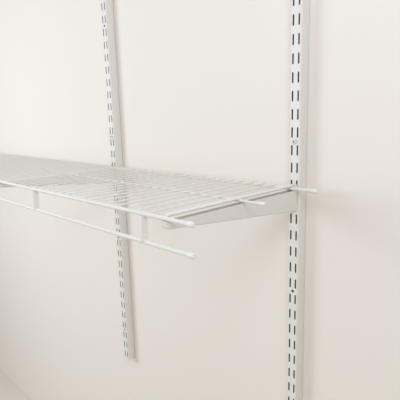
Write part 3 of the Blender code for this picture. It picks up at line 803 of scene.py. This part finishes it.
def strapMesh(low, high, drop):
    # drawn about the front rod's centre line; the hollow ends take the two rods
    half, depth = (high.x - low.x) / 2, (high.y - low.y) / 2
    seat = shelf["rodRadius"] + strap["seatGap"]
    rim = shelf["rodRadius"] - strap["saddleRise"]
    reach, steps, bend = math.acos(rim / seat), strap["arcSteps"], strap["edgeBend"]
    turns = [reach * i / steps for i in range(-steps, steps + 1)]
    lowerSaddle = [(seat * math.sin(turn), seat * math.cos(turn) - drop, 0) for turn in turns]
    upperSaddle = [(seat * math.sin(turn), -seat * math.cos(turn), 0) for turn in reversed(turns)]
    corners = [(-depth, rim - drop, bend), *lowerSaddle, (depth, rim - drop, bend),
               (depth, -rim, bend), *upperSaddle, (-depth, -rim, bend)]
    bm = bmesh.new()
    extrudeOutline(bm, roundCorners(corners, steps), "X", -half, half)
    # a low bead of weld metal lies in the corner between the rod and each face of the strap
    for level, facing in ((0, -1), (-drop, 1)):
        for x in (-half, half):
            addRings(bm, weldBead(x, level, facing, reach * strap["weldTurnShare"]))
    return finishMesh("weldedStrap", bm, epoxyCoat)


strapNodes = sorted(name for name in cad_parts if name.startswith("hang_strap"))
upper, lower = rodPlaces["front_rod"][0], rodPlaces["hang_rod"][0]
sharedStrap = None
for node in strapNodes:
    low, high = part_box(node)
    if sharedStrap is None:
        sharedStrap = strapMesh(low, high, upper.z - lower.z)
    name = "weldedStrap" + node.split("_")[-1]
    piece = addPiece(name, sharedStrap, "shelf", node,
                     (middleX(low, high), upper.y, upper.z))
    soften(piece, strap["softEdge"], strap["softSegments"])
print("straps made:", len(strapNodes))


# Caps: soft moulded cups pushed over the rod ends, which widen towards a domed end with the
# mark of the moulding gate

cap = {
    "fit": 0.3 * mm, "rimWall": 0.4 * mm, "wall": 0.8 * mm, "endWall": 1.7 * mm,
    "dome": 2.6 * mm, "domeSteps": 10, "sides": 48, "rimRound": 0.15 * mm,
    "gateRadius": 0.9 * mm, "gateDepth": 0.5 * mm, "gateFloorShare": 0.7, "near": 0.02 * mm,
    "sharpAngle": 50,
}


def capMesh(name, low, high, outward, rodRadius):
    along = Vector((-outward, 0, 0))
    bore = rodRadius + cap["fit"]
    outside, rim, soft = bore + cap["wall"], bore + cap["rimWall"], cap["rimRound"]
    length = high.x - low.x
    base = Vector((high.x if outward > 0 else low.x, (low.y + high.y) / 2, (low.z + high.z) / 2))
    gate, dome, near = cap["gateRadius"], cap["dome"], cap["near"]
    profile = [(cap["gateDepth"], near), (cap["gateDepth"], gate * cap["gateFloorShare"]),
               (near, gate)]
    for i in range(cap["domeSteps"] + 1):
        turn = math.pi / 2 * i / cap["domeSteps"]
        profile.append((dome * (1 - math.cos(turn)), outside - dome + dome * math.sin(turn)))
    profile += [(length - soft, rim), (length, rim - soft), (length, bore + soft / 2),
                (length - soft, bore), (cap["endWall"], bore), (cap["endWall"], near)]
    bm = bmesh.new()
    addRings(bm, turnedRings(profile, cap["sides"], base, along, Vector((0, 1, 0))))
    return finishMesh(name, bm, capPlastic, cap["sharpAngle"])


capNodes = sorted(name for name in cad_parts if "_cap_" in name)
for node in capNodes:
    low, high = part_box(node)
    rod, end = node.split("_")[0], node.split("_")[-1]
    name = rod + "RodCap" + end.capitalize()
    outward = 1 if end == "right" else -1
    rodRadius = shelf["midRodRadius"] if rod == "mid" else shelf["rodRadius"]
    addPiece(name, capMesh(name, low, high, outward, rodRadius), "shelf", node)
print("caps made:", len(capNodes))


# Wall, floor, light and camera

stage = {
    "wall": "#EFE9E2", "wallLow": "#ECE6DF", "floor": "#E6DED4", "wallHalf": 3200 * mm,
    "wallTop": 1200 * mm, "floorLevel": -1750 * mm, "wallY": 0.4 * mm, "floorDepth": 4000 * mm,
    "cloudsPerMetre": 1.2, "mottlesPerMetre": 2.5, "mottleShare": 0.95,
    "rollerSize": 3.0 * mm, "rollerStrength": 0.15, "rollerDepth": 0.3 * mm,
    "gapInset": 2.0 * mm, "roomLight": "#FDFEFF", "roomStrength": 0.5, "background": "#E4E2DE",
}


def paintedWall():
    # Emulsion rolled on plaster: dead matt, with a faint roller stipple. It is left clear from
    # behind, so that the backs of the pieces can be looked at.
    material = bpy.data.materials.new("rolledEmulsion")
    material.use_nodes = True
    tree = material.node_tree
    shader = tree.nodes["Principled BSDF"]
    shader.inputs["Roughness"].default_value = 0.85
    shader.inputs["IOR"].default_value = 1.4
    place = addNode(tree, "ShaderNodeTexCoord").outputs["Object"]
    cloud = addNode(tree, "ShaderNodeTexNoise", {"Scale": stage["cloudsPerMetre"], "Detail": 3.0},
                    {"Vector": place})
    tone = addNode(tree, "ShaderNodeMix",
                   {"data_type": "RGBA", 6: hexColour(stage["wallLow"]),
                    7: hexColour(stage["wall"])}, {0: cloud.outputs["Fac"]})
    tree.links.new(tone.outputs[2], shader.inputs["Base Color"])
    stipple = addNode(tree, "ShaderNodeTexNoise",
                      {"Scale": 1 / stage["rollerSize"], "Detail": 2.0}, {"Vector": place})
    bump = addNode(tree, "ShaderNodeBump",
                   {"Strength": stage["rollerStrength"], "Distance": stage["rollerDepth"]},
                   {"Height": stipple.outputs["Fac"]})
    tree.links.new(bump.outputs["Normal"], shader.inputs["Normal"])
    side = addNode(tree, "ShaderNodeNewGeometry")
    clear = addNode(tree, "ShaderNodeBsdfTransparent")
    seen = addNode(tree, "ShaderNodeMixShader", {},
                   {0: side.outputs["Backfacing"], 1: shader.outputs[0], 2: clear.outputs[0]})
    tree.links.new(seen.outputs[0], tree.nodes["Material Output"].inputs["Surface"])
    return material


def palePaint():
    # Painted floor board: plain and pale, with a soft mottle.
    material = bpy.data.materials.new("paintedBoard")
    material.use_nodes = True
    tree = material.node_tree
    shader = tree.nodes["Principled BSDF"]
    shader.inputs["Roughness"].default_value = 0.7
    place = addNode(tree, "ShaderNodeTexCoord").outputs["Object"]
    mottle = addNode(tree, "ShaderNodeTexNoise",
                     {"Scale": stage["mottlesPerMetre"], "Detail": 3.0}, {"Vector": place})
    paler = hexColour(stage["floor"])
    darker = (*[value * stage["mottleShare"] for value in paler[:3]], 1.0)
    tone = addNode(tree, "ShaderNodeMix", {"data_type": "RGBA", 6: darker, 7: paler},
                   {0: mottle.outputs["Fac"]})
    tree.links.new(tone.outputs[2], shader.inputs["Base Color"])
    return material


def stageSheet(name, quads, material):
    mesh = bpy.data.meshes.new(name)
    points = [point for quad in quads for point in quad]
    mesh.from_pydata(points, [], [tuple(range(i * 4, i * 4 + 4)) for i in range(len(quads))])
    mesh.materials.append(material)
    sheet = bpy.data.objects.new(name, mesh)
    bpy.context.scene.collection.objects.link(sheet)


def wallQuad(left, right, bottom, top):
    y = stage["wallY"]
    return [(left, y, bottom), (right, y, bottom), (right, y, top), (left, y, top)]


# the strip behind the track is left open, so that its back isn't black from behind
trackLow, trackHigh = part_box("hang_track")
inset, side, ground = stage["gapInset"], stage["wallHalf"], stage["floorLevel"]
gapLow, gapHigh = trackLow.z + inset, trackHigh.z - inset
gapLeft, gapRight = trackLow.x + inset, trackHigh.x - inset
stageSheet("wall", [wallQuad(-side, side, ground, gapLow),
                    wallQuad(-side, side, gapHigh, stage["wallTop"]),
                    wallQuad(-side, gapLeft, gapLow, gapHigh),
                    wallQuad(gapRight, side, gapLow, gapHigh)], paintedWall())
depth = stage["floorDepth"]
stageSheet("floor", [[(-side, -depth, ground), (side, -depth, ground), (side, depth, ground),
                      (-side, depth, ground)]], palePaint())

# the room's even light; seen directly it is a plain pale background
world = bpy.data.worlds.new("room")
bpy.context.scene.world = world
world.use_nodes = True
tree = world.node_tree
room = tree.nodes["Background"]
room.inputs["Color"].default_value = hexColour(stage["roomLight"])
room.inputs["Strength"].default_value = stage["roomStrength"]
pale = addNode(tree, "ShaderNodeBackground",
               {"Color": hexColour(stage["background"]), "Strength": 1.0})
rays = addNode(tree, "ShaderNodeLightPath")
seen = addNode(tree, "ShaderNodeMixShader", {},
               {0: rays.outputs["Is Camera Ray"], 1: room.outputs[0], 2: pale.outputs[0]})
tree.links.new(seen.outputs[0], tree.nodes["World Output"].inputs["Surface"])

# a soft key from the left throws the uprights' shadows, a near lamp on the right lights their
# sides, and a large warm one fills from the right front
lamps = {
    "key": {"at": (-0.62, -1.335, -0.30), "aim": (0.5, 0.0, -0.55), "size": (0.87, 0.87),
            "power": 13.1, "colour": "#EDF7FF"},
    "near": {"at": (1.6, -1.0, 0.4), "aim": (0.8, -0.1, -0.6), "size": (0.7, 0.7),
             "power": 10.4, "colour": "#E3F1FF"},
    "fill": {"at": (2.4, -2.8, 0.3), "aim": (0.7, 0.0, -0.6), "size": (1.8, 1.4),
             "power": 10.0, "colour": "#FFD08A"},
}
for name, lamp in lamps.items():
    light = bpy.data.lights.new(name, "AREA")
    light.energy = lamp["power"]
    light.shape = "RECTANGLE"
    light.size, light.size_y = lamp["size"]
    light.color = hexColour(lamp["colour"])[:3]
    holder = bpy.data.objects.new(name, light)
    bpy.context.scene.collection.objects.link(holder)
    holder.location = lamp["at"]
    toAim = Vector(lamp["aim"]) - Vector(lamp["at"])
    holder.rotation_euler = toAim.to_track_quat("-Z", "Y").to_euler()

view = {"at": (1.2994, -0.6983, -0.4636), "yaw": -45.401, "pitch": -11.113, "roll": -1.654,
        "lens": 39.12, "sensor": 36.0}
yaw, pitch, roll = (math.radians(view[key]) for key in ("yaw", "pitch", "roll"))
forward = Vector((math.sin(yaw) * math.cos(pitch), math.cos(yaw) * math.cos(pitch),
                  math.sin(pitch)))
level = Vector((math.cos(yaw), -math.sin(yaw), 0))
lift = level.cross(forward)
rightward = level * math.cos(roll) + lift * math.sin(roll)
upward = lift * math.cos(roll) - level * math.sin(roll)
cameraData = bpy.data.cameras.new("photoView")
cameraData.lens = view["lens"]
cameraData.sensor_width = view["sensor"]
cameraData.clip_start = 10 * mm
camera = bpy.data.objects.new("photoView", cameraData)
bpy.context.scene.collection.objects.link(camera)
turn = Matrix((rightward, upward, -forward)).transposed()
camera.matrix_world = Matrix.Translation(view["at"]) @ turn.to_4x4()
bpy.context.scene.camera = camera
bpy.context.scene.view_settings.view_transform = "Standard"
print("stage, light and camera set")
